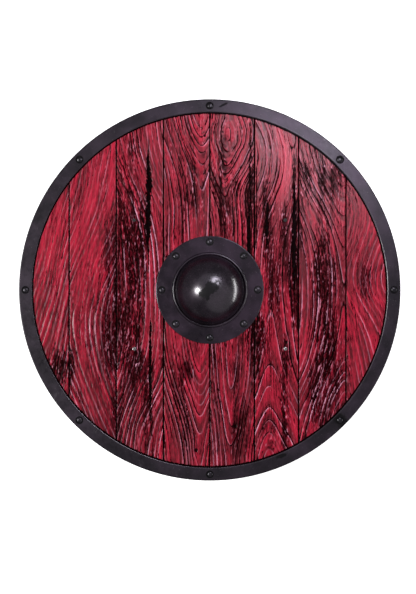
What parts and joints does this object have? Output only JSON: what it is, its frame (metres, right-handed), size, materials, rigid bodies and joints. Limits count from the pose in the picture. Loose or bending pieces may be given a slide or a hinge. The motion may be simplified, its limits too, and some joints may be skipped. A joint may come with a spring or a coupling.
{
  "type": "wooden round shield",
  "caption": "Round wooden shield of upright red-painted boards with a blackened steel rim, domed boss, rivets, back battens and a wooden grip.",
  "frame": {"origin": "on the floor under the middle of the shield, at the undersides of the two battens it lies on", "axes": "+Z out of the painted face, +Y up the boards, +X to the right seen from the front"},
  "size_m": [0.7, 0.7, 0.08],
  "materials": {
    "painted_board": "glossy worn red paint with a black wash in the grain",
    "back_wood": "dark oiled wood",
    "black_steel": "satin blackened steel",
    "bare_steel": "dull bare steel"
  },
  "bodies": {
    "root": {"batten_lower": "back_wood", "batten_nail_1": "bare_steel", "batten_nail_10": "bare_steel", "batten_nail_11": "bare_steel", "batten_nail_12": "bare_steel", "batten_nail_2": "bare_steel", "batten_nail_3": "bare_steel", "batten_nail_4": "bare_steel", "batten_nail_5": "bare_steel", "batten_nail_6": "bare_steel", "batten_nail_7": "bare_steel", "batten_nail_8": "bare_steel", "batten_nail_9": "bare_steel", "batten_rivet_1": "bare_steel", "batten_rivet_2": "bare_steel", "batten_rivet_3": "bare_steel", "batten_rivet_4": "bare_steel", "batten_rove_1": "bare_steel", "batten_rove_2": "bare_steel", "batten_rove_3": "bare_steel", "batten_rove_4": "bare_steel", "batten_upper": "back_wood", "board_1": "painted_board", "board_2": "painted_board", "board_3": "painted_board", "board_4": "painted_board", "board_5": "painted_board", "board_6": "painted_board", "board_7": "painted_board", "board_8": "painted_board", "boss": "black_steel", "boss_rivet_1": "black_steel", "boss_rivet_2": "black_steel", "boss_rivet_3": "black_steel", "boss_rivet_4": "black_steel", "boss_rivet_5": "black_steel", "boss_rivet_6": "black_steel", "boss_rivet_7": "black_steel", "boss_rivet_8": "black_steel", "boss_rove_1": "bare_steel", "boss_rove_2": "bare_steel", "boss_rove_3": "bare_steel", "boss_rove_4": "bare_steel", "boss_rove_5": "bare_steel", "boss_rove_6": "bare_steel", "boss_rove_7": "bare_steel", "boss_rove_8": "bare_steel", "grip": "back_wood", "rim": "black_steel", "rim_rivet_1": "black_steel", "rim_rivet_2": "black_steel", "rim_rivet_3": "black_steel", "rim_rivet_4": "black_steel", "rim_rivet_5": "black_steel", "rim_rivet_6": "black_steel", "rim_rivet_7": "black_steel", "rim_rivet_8": "black_steel"}
  },
  "joints": []
}
